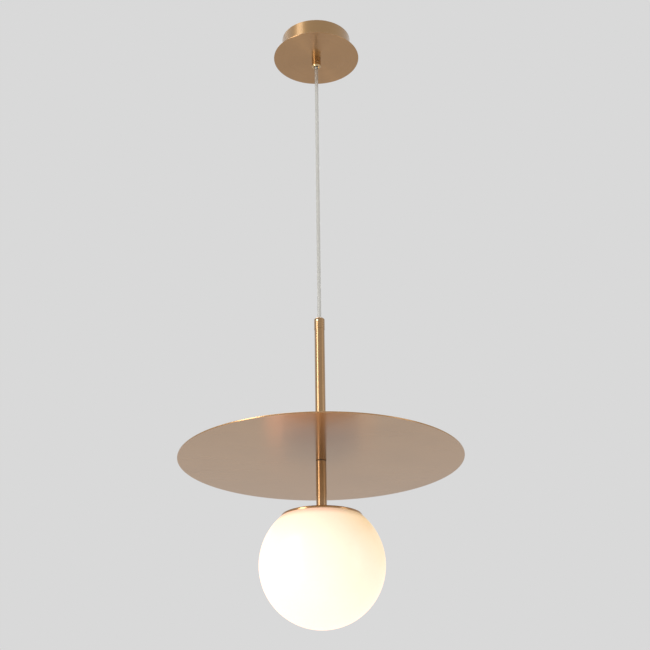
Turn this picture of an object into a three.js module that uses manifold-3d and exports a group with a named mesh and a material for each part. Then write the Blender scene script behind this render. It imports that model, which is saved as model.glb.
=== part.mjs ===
// Pendant ceiling light. A round brass canopy holds a clear PVC cord, the cord carries a brass stem with a flat
// round brass disc on it, and an opal glass globe hangs under the disc from a shallow brass cap.
// Millimetres, +Z up. The origin is the middle of the ceiling face, so everything hangs at negative heights.
import * as THREE from "three";
import { mergeVertices } from "three/addons/utils/BufferGeometryUtils.js";
import Module from "manifold-3d";

const wasm = await Module();
wasm.setup();

// ---------- Driving dimensions ----------

const GAP = 0.3; // clearance between pieces that touch
const FINE = 20; // sides of a small round piece
const COARSE = 12; // sides of a screw
const WIDE = 48; // sides of the disc, the canopy and the cap

// Canopy
const CUP_RADIUS = 48.35;
const CUP_WALL = 1;
const CUP_EDGE = 1.5; // rounding of the cup's lower edge
const CUP_HEIGHT = 29.3;
const PLATE_RADIUS = 60;
const PLATE_THICKNESS = 1.5;
const PLATE_EDGE = 0.4; // bevel of the plate's rim
const PLATE_TOP = -(CUP_HEIGHT + GAP);
const PLATE_UNDERSIDE = PLATE_TOP - PLATE_THICKNESS;

// Bracket that is screwed to the ceiling
const BRACKET_LENGTH = 91;
const BRACKET_WIDTH = 20;
const BRACKET_THICKNESS = 1.6;
const BRACKET_CORNER = 4; // how far each corner is cut back
const EAR_WIDTH = 12;
const EAR_DEPTH = 13;
const CEILING_SLOT_PLACE = 35; // from the middle to each slot's centre
const CEILING_SLOT_LENGTH = 10;
const CEILING_SLOT_WIDTH = 4.6;
const SIDE_SCREW_HEIGHT = -9;
const SIDE_SCREW_RADIUS = 1.7;
const SIDE_SCREW_LENGTH = 6.55;

// M10 hollow nipples and their nuts
const NIPPLE_RADIUS = 4.9;
const NIPPLE_BORE = 3.2;
const NIPPLE_HOLE = NIPPLE_RADIUS + GAP;
const NUT_ACROSS_FLATS = 14;
const NUT_THICKNESS = 3;
const TOOTHED_WASHER_RADIUS = 9;
const TOOTHED_WASHER_THICKNESS = 0.8;
const WASHER_TEETH = 12;
const TOOTH_ROOT = 0.84; // the radius between the teeth, as a share of the washer's radius
const NIPPLE_SOCKET_DEPTH = 5;
const SLOT_WIDTH = 0.5; // slots for a screwdriver
const SLOT_DEPTH = 0.5;

// Terminal block
const BLOCK_SIZE = { x: 16, y: 22, z: 12 };
const BLOCK_X = -21.5;
const BLOCK_TOP = -BRACKET_THICKNESS - GAP;
const BLOCK_BOTTOM = BLOCK_TOP - BLOCK_SIZE.z;
const POLE_PLACES = [-5.5, 5.5];
const POLE_BORE = 1.4;
const POLE_HEIGHT = BLOCK_TOP - 7.6;
const DIVIDER_SLOT = { width: 2, depth: 2.5 }; // the groove between the two poles
const TERMINAL_SCREW_OFFSETS = [-4.5, 3.5];
const TERMINAL_SCREW_RADIUS = 1.3;
const TERMINAL_SCREW_LENGTH = 2.4;

// Cord
const CORD_RADIUS = 2.4;
const CORD_BORE = CORD_RADIUS + GAP;
const CORD_SIDES = 10;
const CORD_STEPS = 36;
const CORD_SHEATH_TOP = -16; // where the sheath ends in the canopy
// Heights that the free cord runs through, from just under the canopy's cord grip to the stem's.
const CORD_HEIGHTS = [
  -48.7, -60, -80, -105, -130, -155, -180, -205, -230, -255, -280, -305, -330, -355, -380, -400, -415, -427, -436.7,
];

// Cord grips: the brass barrels at both ends of the cord
const CANOPY_GRIP = { radius: 6.4, barrel: 12.4, nose: 1.8, noseRadius: 4.9, flare: 4.1, flareDepth: 2.2 };
const STEM_GRIP = { radius: 6.85, barrel: 13.8, nose: 1.2, noseRadius: 5.9, flare: 3.1, flareDepth: 0.6 };
const GRUB_RADIUS = 1.6;
const CANOPY_GRUB = { height: 7, angle: 67 }; // degrees from the grip's own X axis
const STEM_GRUB = { height: 11.4, angle: -113 };
const CANOPY_GRIP_BASE = PLATE_UNDERSIDE - GAP;
const CANOPY_MOUTH = CANOPY_GRIP_BASE - CANOPY_GRIP.barrel - CANOPY_GRIP.nose;
const PIVOT = CANOPY_MOUTH - 0.4; // the middle of the short stretch of cord that bends

// Stem and disc
const STEM_RADIUS = 6.5;
const STEM_BORE = 5.2;
const STEM_TOP = -437;
const STEM_GRIP_BASE = STEM_TOP - STEM_GRIP.barrel - STEM_GRIP.nose;
const DISC_RADIUS = 175;
const DISC_THICKNESS = 1.5;
const DISC_EDGE = 0.3; // bevel of the disc's rim
const DISC_UNDERSIDE = -627.8;
const DISC_TOP = DISC_UNDERSIDE + DISC_THICKNESS;
const DISC_WASHER_RADIUS = 6.3;
const DISC_WASHER_THICKNESS = 0.4;
const DISC_NIPPLE_REACH = 14; // how far the nipple runs into the stem on each side of the disc
const STEM_NIPPLE_LENGTH = 13;

// Globe and its cap
const GLOBE_CENTRE = -755.2;
const GLOBE_RADIUS = 75;
const GLASS_THICKNESS = 3;
const CAP_TOP = -696.2;
const CAP_RADIUS = 49.3;
const CAP_HEIGHT = 3;
const CAP_WALL = 1.4;
const CAP_ROOF = 1.5;
const CAP_EDGE = 1.2; // rounding of the cap's upper edge
const GLASS_RIM = CAP_TOP - CAP_HEIGHT - GAP;
const CARRIER_RADIUS = 40;
const CARRIER_THICKNESS = 1;
const CARRIER_TOP = CAP_TOP - CAP_ROOF - GAP;
const CARRIER_BOTTOM = CARRIER_TOP - CARRIER_THICKNESS;
const SPRING_THICKNESS = 0.6;
const SPRING_WIDTH = 9;
const SPRING_COUNT = 3;
const SPRING_LEVEL = CARRIER_BOTTOM - GAP - SPRING_THICKNESS / 2;
const RIVET_PLACE = 33; // from the axis to each rivet
const RIVET_RADIUS = 1.2;
const RIVET_HEAD = { radius: 2.4, height: 1 };

// Lampholder and bulb
const HOLDER_RADIUS = 13;
const HOLDER_TOP = CAP_TOP - CAP_HEIGHT - 2 * GAP - NUT_THICKNESS;
const HOLDER_SPIGOT = 11.2;
const HOLDER_CAP_LENGTH = 15;
const SPIGOT_LENGTH = 3.4;
const SPIGOT_TOP = HOLDER_TOP - HOLDER_CAP_LENGTH - GAP + SPIGOT_LENGTH;
const HOLDER_FLOOR = 6.5; // thickness of the lampholder body's floor
const FLOOR_HOLE_PLACE = 5; // from the lampholder's axis to each wire hole in its floor
const HOLDER_BODY_LENGTH = 33;
const SHELL_RADIUS = 7.9;
const SHELL_INSIDE = 7.25;
const BULB_THREAD_RADIUS = 6.9;
const BULB_THREAD_PITCH = 2.82;
const BULB_BALL_RADIUS = 22.5;
const BULB_TIP = -724.6;
const BULB_LENGTH = 80;
const BALL_CENTRE = BULB_TIP - BULB_LENGTH + BULB_BALL_RADIUS;
const SCREW_TOP = BULB_TIP - 2.3;
const SCREW_BOTTOM = SCREW_TOP - 21;
const THREAD_RINGS = 5;
const THREAD_DEPTH = 0.8;
const THREAD_START = 4; // plain length below the thread
const HOUSING_TOP = SCREW_BOTTOM - GAP;
const BOARD_RADIUS = 16;
const BOARD_THICKNESS = 1.5;
const DIFFUSER_WALL = 1;
const DIFFUSER_EDGE = 5.8; // how far the diffuser reaches above the ball's centre

// Leads
const LEAD_RADIUS = 0.85;
const LEAD_SIDES = 6;
const LEAD_SPACING = 1.2; // from the axis to each lead
const LEAD_SETBACK = -1.3; // the leads run in the front half of the stem's bore
const SHEATH_IN_STEM = 26; // how far the cord's sheath reaches into the stem

// ---------- Materials ----------

const satinBrass = new THREE.MeshStandardMaterial({ color: 0xa8855c, roughness: 0.34, metalness: 1 });
const clearCord = new THREE.MeshStandardMaterial({ color: 0xbdbcb7, roughness: 0.35, metalness: 0 });
const opalGlass = new THREE.MeshStandardMaterial({ color: 0xfffaf0, roughness: 0.2, metalness: 0 });
const zincSteel = new THREE.MeshStandardMaterial({ color: 0xb4b6b8, roughness: 0.4, metalness: 1 });
const springSteel = new THREE.MeshStandardMaterial({ color: 0x8d8f92, roughness: 0.3, metalness: 1 });
const plainBrass = new THREE.MeshStandardMaterial({ color: 0xc9a24e, roughness: 0.35, metalness: 1 });
const whitePlastic = new THREE.MeshStandardMaterial({ color: 0xeeece6, roughness: 0.5, metalness: 0 });
const fibre = new THREE.MeshStandardMaterial({ color: 0x3a2f26, roughness: 0.8, metalness: 0 });
const brownLead = new THREE.MeshStandardMaterial({ color: 0x6b4226, roughness: 0.5, metalness: 0 });
const blueLead = new THREE.MeshStandardMaterial({ color: 0x2f5f9e, roughness: 0.5, metalness: 0 });

// ---------- Geometry helpers ----------

const degrees = (angle) => THREE.MathUtils.degToRad(angle);

// A profile of [radius, height] points turned round the Z axis. The outer wall runs upwards.
function turned(profile, sides = FINE) {
  const points = profile.map(([radius, height]) => new THREE.Vector2(radius, height));
  return new THREE.LatheGeometry(points, sides).rotateX(Math.PI / 2);
}

// A round tube with square ends.
function tube(outer, inner, low, high, sides = FINE) {
  const profile = [
    [outer, low],
    [outer, high],
    [inner, high],
    [inner, low],
    [outer, low],
  ];
  return turned(profile, sides);
}

// A solid round bar along Z.
function bar(radius, low, high, sides = FINE) {
  const profile = [
    [0, low],
    [radius, low],
    [radius, high],
    [0, high],
  ];
  return turned(profile, sides);
}

// A solid round bar along X, from one distance to another.
function crossBar(radius, from, to, sides = COARSE) {
  return bar(radius, from, to, sides).rotateY(Math.PI / 2);
}

// A box given by its centre and its sizes.
function block(width, depth, height, x, y, z) {
  return new THREE.BoxGeometry(width, depth, height).translate(x, y, z);
}

// The corners of a regular polygon, counter-clockwise.
function polygon(radius, sides) {
  const corners = [];
  for (let i = 0; i < sides; i += 1) {
    const angle = (2 * Math.PI * i) / sides;
    corners.push(new THREE.Vector2(radius * Math.cos(angle), radius * Math.sin(angle)));
  }
  return corners;
}

// A flat shape lifted from one height to another, with its corners kept sharp.
function plate(shape, low, high) {
  const settings = { depth: high - low, bevelEnabled: false, curveSegments: COARSE };
  return new THREE.ExtrudeGeometry(shape, settings).translate(0, 0, low);
}

// A round wire along a smooth line through the points.
function wire(points, radius, sides, steps) {
  const path = new THREE.CatmullRomCurve3(points.map((point) => new THREE.Vector3(...point)));
  const section = new THREE.Shape(polygon(radius, sides));
  return new THREE.ExtrudeGeometry(section, { steps, extrudePath: path, bevelEnabled: false });
}

// A bent strip of sheet metal: the line lies in the XZ plane and the strip's width is along Y.
function strip(line, thickness, width) {
  const points = line.map(([x, z]) => new THREE.Vector2(x, z));
  const side = (sign) =>
    points.map((point, i) => {
      const before = points[Math.max(i - 1, 0)];
      const after = points[Math.min(i + 1, points.length - 1)];
      const along = after.clone().sub(before).normalize();
      const across = new THREE.Vector2(-along.y, along.x).multiplyScalar((sign * thickness) / 2);
      return point.clone().add(across);
    });
  const outline = new THREE.Shape([...side(-1), ...side(1).reverse()]);
  return plate(outline, -width / 2, width / 2).rotateX(Math.PI / 2);
}

function toSolid(geometry) {
  const bare = geometry.clone();
  bare.deleteAttribute("normal");
  bare.deleteAttribute("uv");
  const merged = mergeVertices(bare, 1e-4);
  const mesh = new wasm.Mesh({
    numProp: 3,
    vertProperties: merged.attributes.position.array,
    triVerts: new Uint32Array(merged.index.array),
  });
  return new wasm.Manifold(mesh);
}

function toGeometry(solid) {
  const mesh = solid.getMesh();
  const geometry = new THREE.BufferGeometry();
  geometry.setAttribute("position", new THREE.BufferAttribute(mesh.vertProperties, 3));
  geometry.setIndex(new THREE.BufferAttribute(mesh.triVerts, 1));
  geometry.computeVertexNormals();
  return geometry;
}

function cut(geometry, tools) {
  const rest = tools.reduce((solid, tool) => solid.subtract(toSolid(tool)), toSolid(geometry));
  return toGeometry(rest);
}

function joined(geometries) {
  const solids = geometries.map(toSolid);
  return toGeometry(solids.reduce((whole, solid) => whole.add(solid)));
}

function piece(group, name, geometry, material) {
  const mesh = new THREE.Mesh(geometry, material);
  mesh.name = name;
  group.add(mesh);
  return mesh;
}

// ---------- Shared hardware ----------

// A hollow M10 nipple, a plain tube without its thread.
function nipple(low, high) {
  return tube(NIPPLE_RADIUS, NIPPLE_BORE, low, high);
}

function hexNut(low) {
  const cornerRadius = NUT_ACROSS_FLATS / Math.sqrt(3);
  const outline = new THREE.Shape(polygon(cornerRadius, 6));
  outline.holes.push(new THREE.Path(polygon(NIPPLE_HOLE, FINE)));
  return plate(outline, low, low + NUT_THICKNESS);
}

// A washer whose rim is cut into teeth: two corners out, two corners in.
function toothedWasher(low) {
  const rim = polygon(TOOTHED_WASHER_RADIUS, 4 * WASHER_TEETH).map((corner, i) =>
    i % 4 < 2 ? corner : corner.multiplyScalar(TOOTH_ROOT),
  );
  const outline = new THREE.Shape(rim);
  outline.holes.push(new THREE.Path(polygon(NIPPLE_HOLE, FINE)));
  return plate(outline, low, low + TOOTHED_WASHER_THICKNESS);
}

// A slotted screw without a head, along X, with its slot in the far end.
function slottedScrew(radius, from, to) {
  const slot = block(2 * SLOT_DEPTH, SLOT_WIDTH, 4 * radius, to, 0, 0);
  return cut(crossBar(radius, from, to), [slot]);
}

// A brass barrel that holds a cord. Its base is at height 0, its mouth is at the top, and the nipple's socket
// is below.
function gripBody(grip, grub) {
  const mouth = grip.barrel + grip.nose;
  const profile = [
    [NIPPLE_HOLE, 0],
    [grip.radius, 0],
    [grip.radius, grip.barrel],
    [grip.noseRadius, mouth],
    [grip.flare, mouth],
    [CORD_BORE, mouth - grip.flareDepth],
    [CORD_BORE, NIPPLE_SOCKET_DEPTH],
    [NIPPLE_HOLE, NIPPLE_SOCKET_DEPTH],
    [NIPPLE_HOLE, 0],
  ];
  const grubHole = crossBar(GRUB_RADIUS + GAP, 1, 2 * grip.radius);
  grubHole.rotateZ(degrees(grub.angle)).translate(0, 0, grub.height);
  return cut(turned(profile, FINE), [grubHole]);
}

function grubScrew(grip) {
  return slottedScrew(GRUB_RADIUS, CORD_BORE + GAP, grip.radius - GAP);
}

// A cord grip with its grub screw, in a group of its own.
function cordGrip(grip, grub, bodyName, screwName) {
  const group = new THREE.Group();
  piece(group, bodyName, gripBody(grip, grub), satinBrass);
  const screw = piece(group, screwName, grubScrew(grip), satinBrass);
  screw.position.z = grub.height;
  screw.rotation.z = degrees(grub.angle);
  return group;
}

// ---------- Canopy ----------

// A crossbar with two slots for ceiling screws and an ear bent down at each end.
function ceilingBracket() {
  const halfLength = BRACKET_LENGTH / 2;
  const halfWidth = BRACKET_WIDTH / 2;
  const nearX = halfLength - BRACKET_CORNER;
  const nearY = halfWidth - BRACKET_CORNER;
  const outline = new THREE.Shape();
  outline.moveTo(-halfLength, -nearY);
  outline.lineTo(-nearX, -halfWidth);
  outline.lineTo(nearX, -halfWidth);
  outline.lineTo(halfLength, -nearY);
  outline.lineTo(halfLength, nearY);
  outline.lineTo(nearX, halfWidth);
  outline.lineTo(-nearX, halfWidth);
  outline.lineTo(-halfLength, nearY);
  for (const side of [-1, 1]) {
    const centre = side * CEILING_SLOT_PLACE;
    const half = (CEILING_SLOT_LENGTH - CEILING_SLOT_WIDTH) / 2;
    const slot = new THREE.Path();
    slot.absarc(centre + half, 0, CEILING_SLOT_WIDTH / 2, -Math.PI / 2, Math.PI / 2, false);
    slot.absarc(centre - half, 0, CEILING_SLOT_WIDTH / 2, Math.PI / 2, (3 * Math.PI) / 2, false);
    outline.holes.push(slot);
  }
  const top = plate(outline, -BRACKET_THICKNESS, 0);
  const earTop = -BRACKET_THICKNESS / 2; // half way into the top, so that the two join
  const ears = [-1, 1].map((side) => {
    const x = side * (halfLength - BRACKET_THICKNESS / 2);
    return block(BRACKET_THICKNESS, EAR_WIDTH, EAR_DEPTH + earTop, x, 0, (earTop - EAR_DEPTH) / 2);
  });
  const screwHoles = crossBar(SIDE_SCREW_RADIUS + GAP, -BRACKET_LENGTH, BRACKET_LENGTH);
  screwHoles.translate(0, 0, SIDE_SCREW_HEIGHT);
  return cut(joined([top, ...ears]), [screwHoles]);
}

function canopyCup() {
  const inside = CUP_RADIUS - CUP_WALL;
  const profile = [
    [NIPPLE_HOLE, -CUP_HEIGHT],
    [CUP_RADIUS - CUP_EDGE, -CUP_HEIGHT],
    [CUP_RADIUS - 0.3 * CUP_EDGE, -CUP_HEIGHT + 0.3 * CUP_EDGE],
    [CUP_RADIUS, -CUP_HEIGHT + CUP_EDGE],
    [CUP_RADIUS, 0],
    [inside, 0],
    [inside, -CUP_HEIGHT + CUP_WALL],
    [NIPPLE_HOLE, -CUP_HEIGHT + CUP_WALL],
    [NIPPLE_HOLE, -CUP_HEIGHT],
  ];
  const screwHoles = crossBar(SIDE_SCREW_RADIUS + GAP, -2 * CUP_RADIUS, 2 * CUP_RADIUS);
  screwHoles.translate(0, 0, SIDE_SCREW_HEIGHT);
  return cut(turned(profile, WIDE), [screwHoles]);
}

function bevelledDisc(radius, bevel, hole, low, high) {
  const profile = [
    [hole, low],
    [radius - bevel, low],
    [radius, low + bevel],
    [radius, high - bevel],
    [radius - bevel, high],
    [hole, high],
    [hole, low],
  ];
  return turned(profile, WIDE);
}

// The block that joins the cord's leads to the mains: two bores for the leads and a screw hole at each end of them.
function terminalBlock() {
  const body = block(BLOCK_SIZE.x, BLOCK_SIZE.y, BLOCK_SIZE.z, BLOCK_X, 0, (BLOCK_TOP + BLOCK_BOTTOM) / 2);
  const holes = [];
  for (const y of POLE_PLACES) {
    const bore = crossBar(POLE_BORE, BLOCK_X - BLOCK_SIZE.x, BLOCK_X + BLOCK_SIZE.x);
    holes.push(bore.translate(0, y, POLE_HEIGHT));
    for (const offset of TERMINAL_SCREW_OFFSETS) {
      const screwHole = bar(TERMINAL_SCREW_RADIUS + GAP, BLOCK_BOTTOM - 1, POLE_HEIGHT, COARSE);
      holes.push(screwHole.translate(BLOCK_X + offset, y, 0));
    }
  }
  holes.push(block(2 * BLOCK_SIZE.x, DIVIDER_SLOT.width, 2 * DIVIDER_SLOT.depth, BLOCK_X, 0, BLOCK_BOTTOM));
  return cut(body, holes);
}

// A screw that stands upright with its slot underneath.
function terminalScrew() {
  const slot = block(4 * TERMINAL_SCREW_RADIUS, SLOT_WIDTH, 2 * SLOT_DEPTH, 0, 0, 0);
  return cut(bar(TERMINAL_SCREW_RADIUS, 0, TERMINAL_SCREW_LENGTH, COARSE), [slot]);
}

// A lead from the stripped end of the cord to its pole of the terminal block.
function canopyLead(side) {
  const poleY = side * POLE_PLACES[1];
  const points = [
    [0, side * LEAD_SPACING, CORD_SHEATH_TOP + GAP],
    [0, side * LEAD_SPACING, CORD_SHEATH_TOP + 3.4],
    [-4, side * 3, POLE_HEIGHT + 0.4],
    [-9, side * 5, POLE_HEIGHT],
    [-13, poleY, POLE_HEIGHT],
    [-18, poleY, POLE_HEIGHT],
  ];
  return wire(points, LEAD_RADIUS, LEAD_SIDES, 20);
}

function canopy() {
  const group = new THREE.Group();
  const floor = -CUP_HEIGHT + CUP_WALL;
  const washerLow = floor + GAP;
  const nutLow = washerLow + TOOTHED_WASHER_THICKNESS + GAP;
  piece(group, "ceiling_bracket", ceilingBracket(), zincSteel);
  piece(group, "canopy_cup", canopyCup(), satinBrass);
  const canopyPlate = bevelledDisc(PLATE_RADIUS, PLATE_EDGE, NIPPLE_HOLE, PLATE_UNDERSIDE, PLATE_TOP);
  piece(group, "canopy_plate", canopyPlate, satinBrass);
  const screws = [
    ["canopy_screw_right", 0],
    ["canopy_screw_left", Math.PI],
  ];
  const screwEnd = CUP_RADIUS - GAP;
  for (const [name, turn] of screws) {
    const shape = slottedScrew(SIDE_SCREW_RADIUS, screwEnd - SIDE_SCREW_LENGTH, screwEnd);
    const screw = piece(group, name, shape, satinBrass);
    screw.position.z = SIDE_SCREW_HEIGHT;
    screw.rotation.z = turn;
  }
  const nippleTop = nutLow + NUT_THICKNESS + 2;
  piece(group, "canopy_nipple", nipple(CANOPY_GRIP_BASE - NIPPLE_SOCKET_DEPTH + GAP, nippleTop), zincSteel);
  piece(group, "canopy_lock_washer", toothedWasher(washerLow), zincSteel);
  piece(group, "canopy_nut", hexNut(nutLow), zincSteel);
  piece(group, "terminal_block", terminalBlock(), whitePlastic);
  let count = 0;
  for (const y of POLE_PLACES) {
    for (const offset of TERMINAL_SCREW_OFFSETS) {
      count += 1;
      const screw = piece(group, `terminal_screw_${count}`, terminalScrew(), plainBrass);
      screw.position.set(BLOCK_X + offset, y, BLOCK_BOTTOM + GAP);
    }
  }
  piece(group, "canopy_lead_live", canopyLead(1), brownLead);
  piece(group, "canopy_lead_neutral", canopyLead(-1), blueLead);
  const grip = cordGrip(CANOPY_GRIP, CANOPY_GRUB, "canopy_cord_grip", "canopy_grip_screw");
  grip.position.z = CANOPY_GRIP_BASE;
  grip.rotation.x = Math.PI; // its mouth points down
  group.add(grip);
  return group;
}

// ---------- Cord ----------

function cord() {
  const group = new THREE.Group();
  const upperEnd = bar(CORD_RADIUS, PIVOT + CORD_RADIUS + GAP, CORD_SHEATH_TOP, CORD_SIDES);
  piece(group, "cord_upper_end", upperEnd, clearCord);
  const bend = new THREE.SphereGeometry(CORD_RADIUS, 12, 8);
  piece(group, "cord_bend", bend, clearCord).position.z = PIVOT;
  const points = CORD_HEIGHTS.map((height) => [0, 0, height]);
  piece(group, "cord", wire(points, CORD_RADIUS, CORD_SIDES, CORD_STEPS), clearCord);
  const lowerEnd = bar(CORD_RADIUS, STEM_TOP - SHEATH_IN_STEM, STEM_TOP, CORD_SIDES);
  piece(group, "cord_lower_end", lowerEnd, clearCord);
  return group;
}

// ---------- Stem and disc ----------

// A lead from the cord's stripped end, straight down the stem and over to its hole in the lampholder's floor.
function stemLead(side) {
  const x = side * LEAD_SPACING;
  const holeX = side * FLOOR_HOLE_PLACE;
  const bendTop = HOLDER_TOP - 6.5;
  const run = bar(LEAD_RADIUS, bendTop, STEM_TOP - SHEATH_IN_STEM - GAP, LEAD_SIDES);
  run.translate(x, LEAD_SETBACK, 0);
  const points = [
    [x, LEAD_SETBACK, bendTop + 1],
    [x, LEAD_SETBACK, bendTop],
    [holeX, 0, SPIGOT_TOP + 0.5],
    [holeX, 0, SPIGOT_TOP - HOLDER_FLOOR + 1],
  ];
  return joined([run, wire(points, LEAD_RADIUS, LEAD_SIDES, 14)]);
}

function stem() {
  const group = new THREE.Group();
  const grip = cordGrip(STEM_GRIP, STEM_GRUB, "stem_cord_grip", "stem_grip_screw");
  grip.position.z = STEM_GRIP_BASE;
  group.add(grip);
  const upperWasher = DISC_TOP + GAP;
  const lowerWasher = DISC_UNDERSIDE - GAP - DISC_WASHER_THICKNESS;
  const upperEnd = upperWasher + DISC_WASHER_THICKNESS + GAP;
  const socketTop = STEM_GRIP_BASE + NIPPLE_SOCKET_DEPTH - GAP;
  piece(group, "stem_top_nipple", nipple(socketTop - STEM_NIPPLE_LENGTH, socketTop), zincSteel);
  piece(group, "upper_stem", tube(STEM_RADIUS, STEM_BORE, upperEnd, STEM_GRIP_BASE - GAP), satinBrass);
  const washer = (low) => tube(DISC_WASHER_RADIUS, NIPPLE_HOLE, low, low + DISC_WASHER_THICKNESS);
  piece(group, "disc_washer_upper", washer(upperWasher), fibre);
  piece(group, "disc", bevelledDisc(DISC_RADIUS, DISC_EDGE, NIPPLE_HOLE, DISC_UNDERSIDE, DISC_TOP), satinBrass);
  piece(group, "disc_washer_lower", washer(lowerWasher), fibre);
  const discNipple = nipple(DISC_UNDERSIDE - DISC_NIPPLE_REACH, DISC_TOP + DISC_NIPPLE_REACH);
  piece(group, "disc_nipple", discNipple, zincSteel);
  piece(group, "lower_stem", tube(STEM_RADIUS, STEM_BORE, CAP_TOP + GAP, lowerWasher - GAP), satinBrass);
  piece(group, "stem_lead_live", stemLead(1), brownLead);
  piece(group, "stem_lead_neutral", stemLead(-1), blueLead);
  return group;
}

// ---------- Globe cap and its springs ----------

// A shallow tray, open downwards.
function globeCap() {
  const bottom = CAP_TOP - CAP_HEIGHT;
  const inside = CAP_RADIUS - CAP_WALL;
  const roof = CAP_TOP - CAP_ROOF;
  const profile = [
    [NIPPLE_HOLE, roof],
    [inside, roof],
    [inside, bottom],
    [CAP_RADIUS, bottom],
    [CAP_RADIUS, CAP_TOP - CAP_EDGE],
    [CAP_RADIUS - 0.3 * CAP_EDGE, CAP_TOP - 0.3 * CAP_EDGE],
    [CAP_RADIUS - CAP_EDGE, CAP_TOP],
    [NIPPLE_HOLE, CAP_TOP],
    [NIPPLE_HOLE, roof],
  ];
  return turned(profile, WIDE);
}

const springAngle = (index) => degrees(90 + (360 * index) / SPRING_COUNT);

// The round plate that carries the springs.
function springCarrier() {
  const holes = [];
  for (let i = 0; i < SPRING_COUNT; i += 1) {
    const hole = bar(RIVET_RADIUS + GAP, CARRIER_BOTTOM - 1, CARRIER_TOP + 1, COARSE);
    holes.push(hole.translate(RIVET_PLACE, 0, 0).rotateZ(springAngle(i)));
  }
  return cut(tube(CARRIER_RADIUS, NIPPLE_HOLE, CARRIER_BOTTOM, CARRIER_TOP, 36), holes);
}

// A leaf spring that runs out under the carrier, presses outwards on the glass rim and turns back in.
function leafSpring() {
  const line = [
    [27, SPRING_LEVEL],
    [39, SPRING_LEVEL],
    [42, SPRING_LEVEL - 1],
    [44.6, SPRING_LEVEL - 4],
    [44.2, SPRING_LEVEL - 7],
    [41.5, SPRING_LEVEL - 11],
  ];
  const hole = bar(RIVET_RADIUS + GAP, SPRING_LEVEL - 2, SPRING_LEVEL + 2, COARSE);
  return cut(strip(line, SPRING_THICKNESS, SPRING_WIDTH), [hole.translate(RIVET_PLACE, 0, 0)]);
}

function rivet() {
  const springBottom = SPRING_LEVEL - SPRING_THICKNESS / 2;
  const headTop = springBottom - GAP;
  const profile = [
    [0, headTop - RIVET_HEAD.height],
    [0.6 * RIVET_HEAD.radius, headTop - 0.9 * RIVET_HEAD.height],
    [RIVET_HEAD.radius, headTop],
    [RIVET_RADIUS, headTop],
    [RIVET_RADIUS, CARRIER_TOP],
    [0, CARRIER_TOP],
  ];
  return turned(profile, COARSE).translate(RIVET_PLACE, 0, 0);
}

function globeFitting() {
  const group = new THREE.Group();
  piece(group, "globe_cap", globeCap(), satinBrass);
  piece(group, "cap_nipple", nipple(HOLDER_TOP - 6, CAP_TOP + 12), zincSteel);
  piece(group, "spring_carrier", springCarrier(), zincSteel);
  for (let i = 0; i < SPRING_COUNT; i += 1) {
    piece(group, `globe_spring_${i + 1}`, leafSpring(), springSteel).rotation.z = springAngle(i);
    piece(group, `spring_rivet_${i + 1}`, rivet(), zincSteel).rotation.z = springAngle(i);
  }
  piece(group, "cap_nut", hexNut(HOLDER_TOP + GAP), zincSteel);
  return group;
}

// ---------- Lampholder ----------

function lampholder() {
  const group = new THREE.Group();
  const capBottom = HOLDER_TOP - HOLDER_CAP_LENGTH;
  const capProfile = [
    [HOLDER_RADIUS, capBottom],
    [HOLDER_RADIUS, HOLDER_TOP - 6],
    [HOLDER_RADIUS - 1.5, HOLDER_TOP - 2.5],
    [8.5, HOLDER_TOP],
    [NIPPLE_HOLE, HOLDER_TOP],
    [NIPPLE_HOLE, HOLDER_TOP - 4],
    [8, HOLDER_TOP - 4.5],
    [HOLDER_SPIGOT + GAP, HOLDER_TOP - 7],
    [HOLDER_SPIGOT + GAP, capBottom],
    [HOLDER_RADIUS, capBottom],
  ];
  piece(group, "lampholder_cap", turned(capProfile), whitePlastic);
  const shoulder = capBottom - GAP;
  const bodyBottom = SPIGOT_TOP - HOLDER_BODY_LENGTH;
  const floorBottom = SPIGOT_TOP - HOLDER_FLOOR;
  const bodyProfile = [
    [0, floorBottom],
    [SHELL_RADIUS + GAP, floorBottom],
    [SHELL_RADIUS + GAP, bodyBottom],
    [HOLDER_RADIUS - 1, bodyBottom],
    [HOLDER_RADIUS, bodyBottom + 1],
    [HOLDER_RADIUS, shoulder],
    [HOLDER_SPIGOT, shoulder],
    [HOLDER_SPIGOT, SPIGOT_TOP],
    [0, SPIGOT_TOP],
  ];
  const wireHoles = [-1, 1].map((side) => {
    const hole = bar(LEAD_RADIUS + 0.5, floorBottom - 1, SPIGOT_TOP + 1, COARSE);
    return hole.translate(FLOOR_HOLE_PLACE * side, 0, 0);
  });
  piece(group, "lampholder_body", cut(turned(bodyProfile), wireHoles), whitePlastic);
  const shellTop = floorBottom - 1.5;
  const shell = tube(SHELL_RADIUS, SHELL_INSIDE, bodyBottom + 3, shellTop);
  piece(group, "lampholder_thread", shell, plainBrass);
  const contactLine = [
    [-3, floorBottom - 0.5],
    [2.6, floorBottom - 0.5],
    [2.9, floorBottom - 1.1],
    [0, BULB_TIP + 0.6],
  ];
  piece(group, "lampholder_contact", strip(contactLine, 0.4, 3), springSteel);
  return group;
}

// ---------- Bulb ----------

// The bulb's threaded cap, with its thread as rings.
function screwCap() {
  const threadLow = SCREW_BOTTOM + THREAD_START;
  const profile = [
    [0, SCREW_BOTTOM],
    [BULB_THREAD_RADIUS, SCREW_BOTTOM],
    [BULB_THREAD_RADIUS, threadLow],
  ];
  for (let i = 0; i < THREAD_RINGS; i += 1) {
    const low = threadLow + i * BULB_THREAD_PITCH;
    profile.push([BULB_THREAD_RADIUS - THREAD_DEPTH, low + 0.5 * BULB_THREAD_PITCH]);
    profile.push([BULB_THREAD_RADIUS, low + BULB_THREAD_PITCH]);
  }
  profile.push([4.5, SCREW_TOP], [0, SCREW_TOP]);
  return turned(profile, 20);
}

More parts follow.
